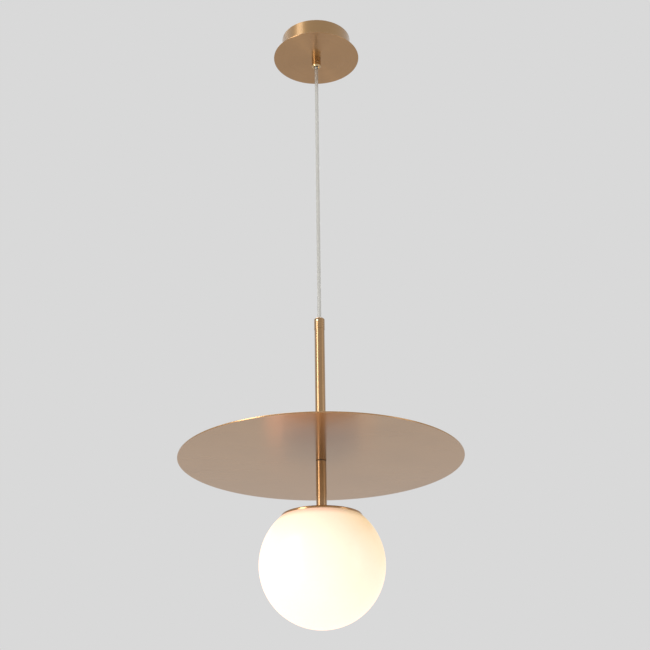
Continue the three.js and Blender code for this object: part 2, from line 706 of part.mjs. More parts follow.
// An arc of [radius, height] points round a centre on the axis, between two angles from the horizontal.
function arc(radius, centre, from, to, steps) {
  const points = [];
  for (let i = 0; i <= steps; i += 1) {
    const angle = from + ((to - from) * i) / steps;
    points.push([Math.max(0, radius * Math.cos(angle)), centre + radius * Math.sin(angle)]);
  }
  return points;
}

function diffuser() {
  const inner = BULB_BALL_RADIUS - DIFFUSER_WALL;
  const low = -Math.PI / 2;
  const outside = arc(BULB_BALL_RADIUS, BALL_CENTRE, low, Math.asin(DIFFUSER_EDGE / BULB_BALL_RADIUS), 7);
  const inside = arc(inner, BALL_CENTRE, Math.asin(DIFFUSER_EDGE / inner), low, 6);
  return turned([...outside, ...inside], 24);
}

function bulb() {
  const group = new THREE.Group();
  const board = BALL_CENTRE + 4.1;
  const contactProfile = [
    [0, SCREW_TOP + GAP],
    [4, SCREW_TOP + GAP],
    [1.8, BULB_TIP],
    [0, BULB_TIP],
  ];
  piece(group, "bulb_contact", turned(contactProfile, 16), zincSteel);
  piece(group, "bulb_screw_cap", screwCap(), plainBrass);
  const housingProfile = [
    [0, board],
    [20.2, board],
    [20.2, board + 2],
    [21.4, board + 2.1],
    [21, board + 8],
    [14.5, board + 21],
    [8.5, board + 26],
    [8, HOUSING_TOP],
    [0, HOUSING_TOP],
  ];
  piece(group, "bulb_housing", turned(housingProfile, 24), whitePlastic);
  piece(group, "bulb_led_board", bar(BOARD_RADIUS, board - GAP - BOARD_THICKNESS, board - GAP), zincSteel);
  piece(group, "bulb_diffuser", diffuser(), opalGlass);
  return group;
}

// ---------- Globe ----------

// An opal ball, open at the top. Its own origin is the ball's centre.
function globe() {
  const group = new THREE.Group();
  const rim = GLASS_RIM - GLOBE_CENTRE;
  const inner = GLOBE_RADIUS - GLASS_THICKNESS;
  const low = -Math.PI / 2;
  const outside = arc(GLOBE_RADIUS, 0, low, Math.asin(rim / GLOBE_RADIUS), 13);
  const inside = arc(inner, 0, Math.asin(rim / inner), low, 11);
  piece(group, "glass_globe", turned([...outside, ...inside], 40), opalGlass);
  group.position.z = GLOBE_CENTRE;
  return group;
}

const light = new THREE.Group();
light.add(canopy(), cord(), stem(), globeFitting(), lampholder(), bulb(), globe());

export default light;
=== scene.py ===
# Pendant ceiling light: the looks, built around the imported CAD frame.
# Metres, +Z up. The origin is the middle of the ceiling face, so everything hangs at negative heights.
import math

import bmesh
import bpy
from mathutils import Matrix, Vector


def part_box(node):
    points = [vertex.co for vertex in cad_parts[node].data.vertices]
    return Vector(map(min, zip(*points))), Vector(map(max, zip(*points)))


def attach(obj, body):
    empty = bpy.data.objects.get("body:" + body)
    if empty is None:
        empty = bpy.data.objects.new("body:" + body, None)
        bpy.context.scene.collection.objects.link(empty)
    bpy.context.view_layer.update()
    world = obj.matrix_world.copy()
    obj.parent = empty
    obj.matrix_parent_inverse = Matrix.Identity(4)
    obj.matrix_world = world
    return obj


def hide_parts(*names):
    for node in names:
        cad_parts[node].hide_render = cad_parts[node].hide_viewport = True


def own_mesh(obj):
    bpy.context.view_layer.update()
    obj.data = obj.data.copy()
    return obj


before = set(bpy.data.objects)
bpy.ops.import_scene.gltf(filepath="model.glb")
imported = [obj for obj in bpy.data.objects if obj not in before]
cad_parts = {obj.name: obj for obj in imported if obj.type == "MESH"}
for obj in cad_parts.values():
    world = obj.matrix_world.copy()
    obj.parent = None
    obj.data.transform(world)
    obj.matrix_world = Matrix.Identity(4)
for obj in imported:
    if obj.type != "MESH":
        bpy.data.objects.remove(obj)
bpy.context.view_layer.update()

MM = 0.001

# ---------- Camera, fitted to the outlines of the disc, the canopy plate and the globe ----------

CAMERA_PLACE = Vector((0.0064, -1.4186, -1.0777))
CAMERA_PITCH = 24.02
CAMERA_ROLL = -0.81
CAMERA_YAW = 0.03
CAMERA_LENS = 66.99
SENSOR_WIDTH = 36

# ---------- Stage ----------

BACKDROP = 0.694  # the pale grey behind the lamp
FLOOR_HEIGHT = -2.4
FLOOR_SIZE = 40

# ---------- Cord ----------

CORD_RADIUS = 2.4 * MM
CORD_SIDES = 32
# The cord's route, the same heights as in part.mjs, with both mouths as its ends.
CORD_HEIGHTS = [
    -46.0, -60, -80, -105, -130, -155, -180, -205, -230, -255,
    -280, -305, -330, -355, -380, -400, -415, -427, -437.0,
]

# ---------- Fit and fineness ----------

NIPPLES = {
    "canopy_nipple": "ceiling_canopy",
    "stem_top_nipple": "pendant",
    "disc_nipple": "pendant",
    "cap_nipple": "pendant",
}
NIPPLE_PITCH = 1.0 * MM
BULB_PITCH = 2.82 * MM  # of the small screw cap's thread
THREAD_STEPS = 8  # points on one turn of a thread's side view
HOLDER_SPIGOT = 11.2 * MM
SHELL_OUTSIDE = 7.9 * MM
RIVET_PLACE = 33 * MM  # from the axis to each rivet
RIVET_HOLE = 1.5 * MM
SPRING_THICKNESS = 0.6 * MM
SPRING_WIDTH = 9 * MM
GLOBE_RADIUS = 75 * MM
GLASS_THICKNESS = 3 * MM
GLOBE_SIDES = 192
GLOBE_STEPS = 96  # points on the glass's side view, from the bottom to the rim
BULB_RADIUS = 22.5 * MM
DIFFUSER_WALL = 1 * MM
DIFFUSER_STEPS = 40
CAD_GAP = 0.3 * MM  # what the CAD leaves between pieces that touch
SEAM = 0.25 * MM  # how far a piece reaches into the CAD's gap, so that it meets its neighbour
NIPPLE_HOLE = 5.2 * MM
SLIVER = 0.002 * MM  # points closer than this are one point

WIDE_SIDES = 256  # sides of the disc and the canopy
ROUND_SIDES = 96  # sides of the stem and the grips
SMALL_SIDES = 48  # sides of small hardware
FILLET_STEPS = 5


# ---------- Mesh helpers ----------

def new_object(name, mesh):
    piece = bpy.data.objects.new(name, mesh)
    bpy.context.scene.collection.objects.link(piece)
    return piece


def smooth(piece, angle=35):
    """Smooth shading with edges sharper than the angle kept, and normals that favour the large faces."""
    mesh = piece.data
    for face in mesh.polygons:
        face.use_smooth = True
    mesh.set_sharp_from_angle(angle=math.radians(angle))
    modifier = piece.modifiers.new("normals", "WEIGHTED_NORMAL")
    modifier.keep_sharp = True
    return piece


def fillet(before, corner, after, radius):
    """Points of an arc that rounds a corner between two straight stretches."""
    to_before = (before - corner).normalized()
    to_after = (after - corner).normalized()
    half = to_before.angle(to_after) / 2
    reach = radius / math.tan(half)
    middle = corner + (to_before + to_after).normalized() * (radius / math.sin(half))
    start = corner + to_before * reach - middle
    end = corner + to_after * reach - middle
    turn = start.angle_signed(end)
    points = []
    for step in range(FILLET_STEPS + 1):
        angle = -turn * step / FILLET_STEPS
        cos, sin = math.cos(angle), math.sin(angle)
        points.append(middle + Vector((start.x * cos - start.y * sin, start.x * sin + start.y * cos)))
    return points


def rounded(outline):
    """Turns each outline corner (radius, height, rounding) into an arc. Without a rounding it stays sharp."""
    corners = [Vector(point[:2]) for point in outline]
    result = []
    for i, point in enumerate(outline):
        rounding = point[2] if len(point) > 2 else 0
        if rounding:
            result += fillet(corners[i - 1], corners[i], corners[(i + 1) % len(corners)], rounding)
        else:
            result.append(corners[i])
    return result


def turned(name, outline, sides=ROUND_SIDES):
    """A body of revolution about Z. The outline is counter-clockwise in (radius, height), and it closes on
    itself or on the axis. The UV map "grain" runs along the outline and then round the axis, in metres."""
    points = rounded(outline)
    closed = all(point.x > 0 for point in points)
    if closed:
        points.append(points[0])
    widest = max(point.x for point in points)
    travelled = [0.0]
    for a, b in zip(points, points[1:]):
        travelled.append(travelled[-1] + (b - a).length)
    shape = bmesh.new()
    grain = shape.loops.layers.uv.new("grain")
    rings = []
    for i, point in enumerate(points):
        if closed and i == len(points) - 1:
            rings.append(rings[0])
        elif point.x < 1e-9:
            rings.append([shape.verts.new((0, 0, point.y))] * (sides + 1))
        else:
            angles = [math.pi / 2 + 2 * math.pi * k / sides for k in range(sides)]
            ring = [shape.verts.new((point.x * math.cos(a), point.x * math.sin(a), point.y)) for a in angles]
            rings.append(ring + [ring[0]])
    for i in range(len(points) - 1):
        for k in range(sides):
            corners = [(i, k), (i, k + 1), (i + 1, k + 1), (i + 1, k)]
            used = []
            for row, column in corners:
                if rings[row][column] not in [rings[r][c] for r, c in used]:
                    used.append((row, column))
            if len(used) < 3:
                continue
            face = shape.faces.new([rings[row][column] for row, column in used])
            for loop, (row, column) in zip(face.loops, used):
                loop[grain].uv = (travelled[row], 2 * math.pi * widest * column / sides)
    mesh = bpy.data.meshes.new(name)
    shape.to_mesh(mesh)
    shape.free()
    return new_object(name, mesh)


def linear_grain(piece):
    """Lays the UV map "grain" flat, for metal that was brushed along X before it was cut."""
    layer = piece.data.uv_layers["grain"]
    for loop in piece.data.loops:
        place = piece.data.vertices[loop.vertex_index].co
        layer.data[loop.index].uv = (place.y, place.x)


def plain_bar(name, radius, low, high, sides=SMALL_SIDES):
    return turned(name, [(0, low), (radius, low), (radius, high), (0, high)], sides)


def plain_block(name, width, depth, height, centre):
    shape = bmesh.new()
    bmesh.ops.create_cube(shape, size=1, matrix=Matrix.Diagonal((width, depth, height, 1)))
    shape.loops.layers.uv.new("grain")
    mesh = bpy.data.meshes.new(name)
    shape.to_mesh(mesh)
    shape.free()
    mesh.transform(Matrix.Translation(centre))
    return new_object(name, mesh)


def applied(piece):
    """Makes the piece's modifiers part of its mesh."""
    depsgraph = bpy.context.evaluated_depsgraph_get()
    mesh = bpy.data.meshes.new_from_object(piece.evaluated_get(depsgraph))
    piece.modifiers.clear()
    piece.data = mesh
    return piece


def cut(piece, cutters):
    """Subtracts the cutters from the piece, deletes them and clears the slivers that they leave."""
    for cutter in cutters:
        modifier = piece.modifiers.new("cut", "BOOLEAN")
        modifier.operation = "DIFFERENCE"
        modifier.solver = "EXACT"
        modifier.object = cutter
    applied(piece)
    for cutter in cutters:
        bpy.data.objects.remove(cutter)
    shape = bmesh.new()
    shape.from_mesh(piece.data)
    bmesh.ops.dissolve_degenerate(shape, dist=SLIVER, edges=shape.edges)
    shape.to_mesh(piece.data)
    shape.free()
    return piece


def moved(piece, matrix):
    """Moves the piece by moving its mesh, so that its object stays at the origin."""
    piece.data.transform(matrix)
    return piece


def finish_piece(piece, material, body, nodes=()):
    """Gives a new piece its material and its body, and hides the CAD nodes it stands for."""
    piece.data.materials.clear()
    piece.data.materials.append(material)
    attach(piece, body)
    if nodes:
        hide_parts(*nodes)
    return piece


# ---------- Materials ----------

# Each brass has a plain, a worn and a dull colour.
BRASS = ((0.425, 0.226, 0.080), (0.470, 0.262, 0.105), (0.385, 0.205, 0.074))
# Painted shade: the plate's brass is the disc's brass made darker, not a different metal.
PLATE_BRASS_SHADED = ((0.382, 0.198, 0.068), (0.420, 0.230, 0.090), (0.346, 0.181, 0.063))
# Painted shade: the cup's brass is the disc's brass made darker and less red, not a different metal.
CUP_BRASS_SHADED = ((0.380, 0.215, 0.080), (0.420, 0.248, 0.103), (0.345, 0.195, 0.074))
# Painted shade: the brass of the stem tubes and the stem's grip is the disc's brass made darker, not a
# different metal.
STEM_BRASS_SHADED = ((0.370, 0.208, 0.082), (0.410, 0.240, 0.105), (0.335, 0.188, 0.076))
# Painted light: the canopy grip's brass is the disc's brass made lighter and yellower. Its lower roughness is
# its polish.
GRIP_BRASS_LIT = ((0.50, 0.33, 0.15), (0.56, 0.38, 0.18), (0.45, 0.30, 0.13))
GLOBE_STRENGTH = 1.45
# The glow of the glass: 0.0 is its brightest side, low on the left, and 1.0 its dimmest, high on the right.
GLOBE_GLOW = (
    (0.00, (1.000, 0.538, 0.370)),
    (0.38, (1.000, 0.538, 0.365)),
    (0.50, (0.930, 0.510, 0.350)),
    (0.60, (0.862, 0.483, 0.335)),
    (0.70, (0.759, 0.452, 0.318)),
    (0.80, (0.680, 0.420, 0.285)),
    (0.90, (0.538, 0.386, 0.228)),
    (1.00, (0.455, 0.317, 0.152)),
)
DIM_SIDE = (0.8, -0.13, 0.585)  # the direction from the globe's centre to its dimmest side
CAP_SHADOW = (0.62, 0.56, 0.50)  # how much of the glow the cap's shadow leaves at the glass rim
CAP_SHADOW_DEPTH = 10 * MM
LACQUER_ROUGHNESS = 0.16
LACQUER_IOR = 1.5
BRUSH_DEPTH = 0.002 * MM


class Nodes:
    """A new material with short names for making and linking its nodes."""

    def __init__(self, name):
        self.material = bpy.data.materials.new(name)
        self.material.use_nodes = True
        self.tree = self.material.node_tree
        self.shader = self.tree.nodes["Principled BSDF"]

    def add(self, kind, **settings):
        node = self.tree.nodes.new(kind)
        for key, value in settings.items():
            setattr(node, key, value)
        return node

    def link(self, output, target):
        self.tree.links.new(output, target)

    def set(self, values):
        for socket, value in values.items():
            self.shader.inputs[socket].default_value = value

    def grain(self, across, along):
        """Noise coordinates from the UV map "grain": many lines across the brushing, long ones along it."""
        uv = self.add("ShaderNodeUVMap", uv_map="grain")
        mapping = self.add("ShaderNodeMapping")
        mapping.inputs["Scale"].default_value = (across, along, 1)
        self.link(uv.outputs["UV"], mapping.inputs["Vector"])
        return mapping.outputs["Vector"]

    def place(self, scale=(1, 1, 1)):
        """Noise coordinates in the object's own space."""
        coordinates = self.add("ShaderNodeTexCoord")
        mapping = self.add("ShaderNodeMapping")
        mapping.inputs["Scale"].default_value = scale
        self.link(coordinates.outputs["Object"], mapping.inputs["Vector"])
        return mapping.outputs["Vector"]

    def noise(self, vector, scale, detail=3.0, roughness=0.55):
        node = self.add("ShaderNodeTexNoise")
        node.inputs["Scale"].default_value = scale
        node.inputs["Detail"].default_value = detail
        node.inputs["Roughness"].default_value = roughness
        self.link(vector, node.inputs["Vector"])
        return node.outputs["Fac"]

    def mixed(self, factor, first, second):
        """A colour between two colours, by a factor."""
        node = self.add("ShaderNodeMix", data_type="RGBA")
        self.link(factor, node.inputs["Factor"])
        for socket, value in ((node.inputs[6], first), (node.inputs[7], second)):
            if isinstance(value, tuple):
                socket.default_value = (*value, 1)
            else:
                self.link(value, socket)
        return node.outputs[2]

    def ranged(self, value, low, high, from_low=0.3, from_high=0.7):
        """A number moved from one range to another, held at its ends."""
        node = self.add("ShaderNodeMapRange")
        node.inputs["From Min"].default_value = from_low
        node.inputs["From Max"].default_value = from_high
        node.inputs["To Min"].default_value = low
        node.inputs["To Max"].default_value = high
        self.link(value, node.inputs["Value"])
        return node.outputs["Result"]

    def bump(self, height, distance, strength=1.0):
        node = self.add("ShaderNodeBump")
        node.inputs["Distance"].default_value = distance
        node.inputs["Strength"].default_value = strength
        self.link(height, node.inputs["Height"])
        self.link(node.outputs["Normal"], self.shader.inputs["Normal"])

    def tangent(self):
        """Stretches reflections across the brushing."""
        node = self.add("ShaderNodeTangent", direction_type="UV_MAP", uv_map="grain")
        self.link(node.outputs["Tangent"], self.shader.inputs["Tangent"])


def brushed_brass(name, roughness, across, along, anisotropy, colours):
    """Satin brass under clear lacquer: fine brush lines in colour and gloss, broad faint stains in colour."""
    nodes = Nodes(name)
    nodes.set({
        "Metallic": 1.0,
        "Anisotropic": anisotropy,
        "Coat Weight": 1.0,
        "Coat Roughness": LACQUER_ROUGHNESS,
        "Coat IOR": LACQUER_IOR,
    })
    lines = nodes.noise(nodes.grain(across, along), 1.0, 4.0, 0.6)
    coarse = nodes.noise(nodes.grain(across / 5, along / 2), 1.0, 2.0, 0.5)
    stains = nodes.noise(nodes.place(), 14.0, 3.0, 0.5)
    plain, worn, dull = colours
    tint = nodes.mixed(nodes.ranged(lines, 0.0, 1.0), plain, worn)
    tint = nodes.mixed(nodes.ranged(coarse, 0.0, 0.35), tint, worn)
    tint = nodes.mixed(nodes.ranged(stains, 0.0, 0.5, 0.45, 0.75), tint, dull)
    nodes.link(tint, nodes.shader.inputs["Base Color"])
    gloss = nodes.ranged(lines, roughness - 0.03, roughness + 0.03)
    nodes.link(gloss, nodes.shader.inputs["Roughness"])
    nodes.bump(lines, BRUSH_DEPTH, 0.2)
    nodes.tangent()
    return nodes.material


def plain_metal(name, colour, dark, roughness, scale=220.0):
    """Plated or rolled metal: a fine mottled grain."""
    nodes = Nodes(name)
    nodes.set({"Metallic": 1.0})
    vector = nodes.place()
    fine = nodes.noise(vector, scale * 4, 3.0)
    broad = nodes.noise(vector, scale / 3, 4.0)
    tint = nodes.mixed(nodes.ranged(broad, 0.0, 1.0), colour, dark)
    nodes.link(tint, nodes.shader.inputs["Base Color"])
    nodes.link(nodes.ranged(fine, roughness - 0.06, roughness + 0.1), nodes.shader.inputs["Roughness"])
    nodes.bump(fine, 0.00002, 0.3)
    return nodes.material


def moulded(name, colour, shade, roughness, grain=900.0, glow=None):
    """Moulded plastic or PVC: a fine spark-eroded grain and faint uneven colour."""
    nodes = Nodes(name)
    nodes.set({"Metallic": 0.0})
    vector = nodes.place()
    fine = nodes.noise(vector, grain, 2.0)
    broad = nodes.noise(vector, 35.0, 3.0)
    tint = nodes.mixed(nodes.ranged(broad, 0.0, 1.0), colour, shade)
    nodes.link(tint, nodes.shader.inputs["Base Color"])
    nodes.link(nodes.ranged(fine, roughness - 0.05, roughness + 0.08), nodes.shader.inputs["Roughness"])
    nodes.bump(fine, 0.00003, 0.4)
    if glow:
        nodes.set({"Emission Color": (*GLOBE_GLOW[0][1], 1), "Emission Strength": glow})
    return nodes.material


def clear_pvc(name):
    """The cord's clear sheath, slightly milky and slightly uneven."""
    nodes = Nodes(name)
    nodes.set({"Metallic": 0.0, "IOR": 1.47, "Transmission Weight": 0.8})
    vector = nodes.place((1, 1, 0.1))
    cloud = nodes.noise(vector, 180.0, 3.0)
    tint = nodes.mixed(nodes.ranged(cloud, 0.0, 1.0), (0.76, 0.75, 0.71), (0.70, 0.69, 0.65))
    nodes.link(tint, nodes.shader.inputs["Base Color"])
    nodes.link(nodes.ranged(cloud, 0.20, 0.26), nodes.shader.inputs["Roughness"])
    nodes.bump(cloud, 0.000005, 0.2)
    return nodes.material


def opal_glass(name, centre, rim):
    """Lit opal glass: brightest low on the left, warmer and weaker towards the upper right."""
    nodes = Nodes(name)
    nodes.set({"Metallic": 0.0, "IOR": 1.5})
    coordinates = nodes.add("ShaderNodeTexCoord")
    offset = nodes.add("ShaderNodeVectorMath", operation="SUBTRACT")
    offset.inputs[1].default_value = (0, 0, centre)
    nodes.link(coordinates.outputs["Object"], offset.inputs[0])
    direction = nodes.add("ShaderNodeVectorMath", operation="NORMALIZE")
    nodes.link(offset.outputs["Vector"], direction.inputs[0])
    towards = nodes.add("ShaderNodeVectorMath", operation="DOT_PRODUCT")
    towards.inputs[1].default_value = DIM_SIDE
    nodes.link(direction.outputs["Vector"], towards.inputs[0])
    glow = nodes.add("ShaderNodeValToRGB")
    stops = glow.color_ramp.elements
    while len(stops) < len(GLOBE_GLOW):
        stops.new(0.5)
    for stop, (place, colour) in zip(stops, GLOBE_GLOW):
        stop.position = place
        stop.color = (*colour, 1)
    nodes.link(nodes.ranged(towards.outputs["Value"], 0.0, 1.0, -1.0, 1.0), glow.inputs["Fac"])
    height = nodes.add("ShaderNodeSeparateXYZ")
    nodes.link(coordinates.outputs["Object"], height.inputs["Vector"])
    under_cap = nodes.add("ShaderNodeMapRange", interpolation_type="SMOOTHSTEP")
    under_cap.inputs["From Min"].default_value = rim - CAP_SHADOW_DEPTH
    under_cap.inputs["From Max"].default_value = rim
    nodes.link(height.outputs["Z"], under_cap.inputs["Value"])
    shaded = nodes.add("ShaderNodeMix", data_type="RGBA", blend_type="MULTIPLY")
    nodes.link(under_cap.outputs["Result"], shaded.inputs["Factor"])
    nodes.link(glow.outputs["Color"], shaded.inputs[6])
    shaded.inputs[7].default_value = (*CAP_SHADOW, 1)
    nodes.link(shaded.outputs[2], nodes.shader.inputs["Emission Color"])
    nodes.set({"Emission Strength": GLOBE_STRENGTH})
    cloud = nodes.noise(nodes.place(), 60.0, 3.0)
    base = nodes.mixed(nodes.ranged(cloud, 0.0, 1.0), (0.40, 0.38, 0.35), (0.37, 0.355, 0.33))
    nodes.link(base, nodes.shader.inputs["Base Color"])
    nodes.link(nodes.ranged(cloud, 0.28, 0.38), nodes.shader.inputs["Roughness"])
    return nodes.material


# ---------- Camera and stage ----------

def make_camera():
    data = bpy.data.cameras.new("camera")
    data.sensor_width = SENSOR_WIDTH
    data.lens = CAMERA_LENS
    camera = bpy.data.objects.new("camera", data)
    bpy.context.scene.collection.objects.link(camera)
    pitch, roll, yaw = map(math.radians, (CAMERA_PITCH, CAMERA_ROLL, CAMERA_YAW))
    forward = Vector((math.sin(yaw) * math.cos(pitch), math.cos(yaw) * math.cos(pitch), math.sin(pitch)))
    right = Vector((math.cos(yaw), -math.sin(yaw), 0))
    up = right.cross(forward)
    x_axis = right * math.cos(roll) + up * math.sin(roll)
    y_axis = up * math.cos(roll) - right * math.sin(roll)
    turn = Matrix((x_axis, y_axis, -forward)).transposed()
    camera.matrix_world = Matrix.Translation(CAMERA_PLACE) @ turn.to_4x4()
    bpy.context.scene.camera = camera


def soft_light(name, place, target, size, power, colour):
    data = bpy.data.lights.new(name, "AREA")
    data.shape = "RECTANGLE"
    data.size, data.size_y = size
    data.energy = power
    data.color = colour
    light = bpy.data.objects.new(name, data)
    light.location = place
    light.rotation_euler = (Vector(target) - Vector(place)).to_track_quat("-Z", "Y").to_euler()
    light.visible_camera = False
    bpy.context.scene.collection.objects.link(light)


def make_stage():
    scene = bpy.context.scene
    scene.view_settings.view_transform = "Standard"
    scene.world = bpy.data.worlds.new("studio")
    scene.world.use_nodes = True
    background = scene.world.node_tree.nodes["Background"]
    background.inputs["Color"].default_value = (BACKDROP, BACKDROP, BACKDROP, 1)
    background.inputs["Strength"].default_value = 1.0
    shape = bmesh.new()
    bmesh.ops.create_grid(shape, x_segments=1, y_segments=1, size=FLOOR_SIZE / 2)
    mesh = bpy.data.meshes.new("floor")
    shape.to_mesh(mesh)
    shape.free()
    mesh.transform(Matrix.Translation((0, 0, FLOOR_HEIGHT)))
    floor = new_object("floor", mesh)
    paint = moulded("floor_paint", (0.955, 0.955, 0.955), (0.945, 0.945, 0.945), 0.7, grain=40.0)
    floor.data.materials.append(paint)
    middle = (0, 0, -0.45)
    soft_light("left_strip", (-1.54, -1.12, -0.65), (0, 0, -0.65), (0.6, 2.5), 32, (1.0, 0.97, 0.92))
    soft_light("left_high", (-1.56, -1.08, 1.4), (0, 0, 0), (0.75, 1.0), 4.2, (1.0, 0.98, 0.93))
    soft_light("right_fill", (1.9, -0.9, -0.5), middle, (0.7, 1.6), 4, (1.0, 0.98, 0.95))
    soft_light("top_fill", (-0.4, 0.6, 1.6), middle, (1.6, 1.6), 14, (1.0, 0.99, 0.97))


# ---------- Cord ----------

def rod_along(name, heights, radius, sides):
    """A round rod down the Z axis through the heights, closed at both ends."""
    shape = bmesh.new()
    rings = []
    for height in heights:
        angles = [2 * math.pi * k / sides for k in range(sides)]
        rings.append([shape.verts.new((radius * math.cos(a), radius * math.sin(a), height)) for a in angles])
    for upper, lower in zip(rings, rings[1:]):
        for k in range(sides):
            following = (k + 1) % sides
            shape.faces.new((lower[k], lower[following], upper[following], upper[k]))
    shape.faces.new(rings[0])
    shape.faces.new(reversed(rings[-1]))
    mesh = bpy.data.meshes.new(name)
    shape.to_mesh(mesh)
    shape.free()
    return new_object(name, mesh)


def make_cord(materials):
    heights = [height * MM for height in CORD_HEIGHTS]
    sheath = rod_along("cord_sheath", heights, CORD_RADIUS, CORD_SIDES)
    smooth(sheath)
    finish_piece(sheath, materials["clear_pvc"], "hanging_cord", ["cord"])
    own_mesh(sheath)


# ---------- Canopy ----------

def set_screw(name, radius, length):
    """A slotted grub screw along +X, its slotted face at x = 0 and its body behind it."""
    chamfer = 0.25 * MM
    outline = [(0, -length), (radius, -length, chamfer), (radius, 0, chamfer), (0, 0)]
    screw = turned(name, outline, SMALL_SIDES)
    slot = plain_block("slot", 4 * radius, 0.5 * MM, 1.2 * MM, (0, 0, 0))
    cut(screw, [slot])
    return moved(screw, Matrix.Rotation(math.pi / 2, 4, "Y"))


def make_canopy(materials):
    low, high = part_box("canopy_cup")
    radius = high.x
    wall = 1.0 * MM
    bottom = low.z - SEAM
    outline = [
        (NIPPLE_HOLE, bottom), (radius, bottom, 0.4 * MM), (radius, high.z, 0.3 * MM),
        (radius - wall, high.z, 0.3 * MM), (radius - wall, bottom + wall, 0.8 * MM),
        (NIPPLE_HOLE, bottom + wall),
    ]
    cup = turned("canopy_cup_shell", outline, WIDE_SIDES)
    screw_low, screw_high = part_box("canopy_screw_right")
    screw_height = (screw_low.z + screw_high.z) / 2
    hole_bar = plain_bar("side_holes", 2.0 * MM, -0.1, 0.1)
    moved(hole_bar, Matrix.Translation((0, 0, screw_height)) @ Matrix.Rotation(math.pi / 2, 4, "Y"))
    cut(cup, [hole_bar])
    smooth(cup)
    finish_piece(cup, materials["cup_brass_shaded"], "ceiling_canopy", ["canopy_cup"])

    for side, node in ((1, "canopy_screw_right"), (-1, "canopy_screw_left")):
        screw = set_screw(node + "_slotted", 1.7 * MM, 6 * MM)
        turn = Matrix.Rotation(0 if side > 0 else math.pi, 4, "Z")
        moved(screw, turn @ Matrix.Translation((screw_high.x, 0, screw_height)))
        smooth(screw)
        finish_piece(screw, materials["screw_brass"], "ceiling_canopy", [node])

    low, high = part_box("canopy_plate")
    outline = [
        (NIPPLE_HOLE, low.z), (high.x, low.z, 0.5 * MM), (high.x, high.z, 0.5 * MM), (NIPPLE_HOLE, high.z),
    ]
    plate = turned("canopy_plate_brushed", outline, WIDE_SIDES)
    smooth(plate)
    finish_piece(plate, materials["plate_brass_shaded"], "ceiling_canopy", ["canopy_plate"])


def cord_grip(materials, name, node, screw_name, screw_node, mouth_up, nose, nose_radius, flare, body):
    """A turned brass barrel with a chamfered nose, and its grub screw."""
    low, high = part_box(node)
    radius = high.x
    length = high.z - low.z
    bore = 2.7 * MM
    socket_depth = 5 * MM
    outline = [
        (NIPPLE_HOLE, -SEAM), (radius, -SEAM, 0.25 * MM), (radius, length - nose, 0.3 * MM),
        (nose_radius, length, 0.25 * MM), (flare, length, 0.25 * MM), (bore, length - 2.2 * MM, 0.4 * MM),
        (bore, socket_depth), (NIPPLE_HOLE, socket_depth),
    ]
    grip = turned(name, outline, ROUND_SIDES)
    place = Matrix.Translation((0, 0, low.z))
    if not mouth_up:
        place = Matrix.Translation((0, 0, high.z)) @ Matrix.Rotation(math.pi, 4, "X")
    moved(grip, place)
    screw_low, screw_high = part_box(screw_node)
    middle = (screw_low + screw_high) / 2
    angle = math.atan2(middle.y, middle.x)
    towards = Matrix.Translation((0, 0, middle.z)) @ Matrix.Rotation(angle, 4, "Z")
    hole = plain_bar("grub_hole", 1.9 * MM, bore / 2, 2 * radius)
    moved(hole, towards @ Matrix.Rotation(math.pi / 2, 4, "Y"))
    cut(grip, [hole])
    smooth(grip)
    # The stem's grip takes the darker stem copy of the brass (painted shade), the canopy's grip the lighter
    # copy (painted light).
    brass = materials["stem_grip_brass_shaded" if mouth_up else "grip_brass"]
    finish_piece(grip, brass, body, [node])
    screw = set_screw(screw_name, 1.6 * MM, radius - 3.3 * MM)
    sunk = Matrix.Translation((radius - 0.3 * MM, 0, 0)) @ Matrix.Rotation(math.radians(35), 4, "X")
    moved(screw, towards @ sunk)
    smooth(screw)
    finish_piece(screw, materials["screw_brass"], body, [screw_node])


# ---------- Stem and disc ----------

def make_stem(materials):
    for node, name in (("upper_stem", "upper_stem_tube"), ("lower_stem", "lower_stem_tube")):
        low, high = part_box(node)
        radius, bottom, top = high.x, low.z - SEAM, high.z + SEAM
        outline = [
            (NIPPLE_HOLE, bottom), (radius, bottom, 0.15 * MM), (radius, top, 0.15 * MM), (NIPPLE_HOLE, top),
        ]
        tube = turned(name, outline, ROUND_SIDES)
        smooth(tube)
        finish_piece(tube, materials["stem_brass_shaded"], "pendant", [node])
    low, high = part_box("disc")
    outline = [
        (NIPPLE_HOLE, low.z), (high.x, low.z, 0.4 * MM), (high.x, high.z, 0.4 * MM), (NIPPLE_HOLE, high.z),
    ]
    disc = turned("disc_brushed", outline, WIDE_SIDES)
    linear_grain(disc)
    smooth(disc)
    finish_piece(disc, materials["disc_brass"], "pendant", ["disc"])
    for node in ("disc_washer_upper", "disc_washer_lower"):
        low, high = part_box(node)
        outline = [(NIPPLE_HOLE, low.z), (high.x, low.z), (high.x, high.z), (NIPPLE_HOLE, high.z)]
        washer = turned(node + "_fibre", outline, SMALL_SIDES)
        smooth(washer)
        finish_piece(washer, materials["fibre"], "pendant", [node])


# ---------- Globe ----------

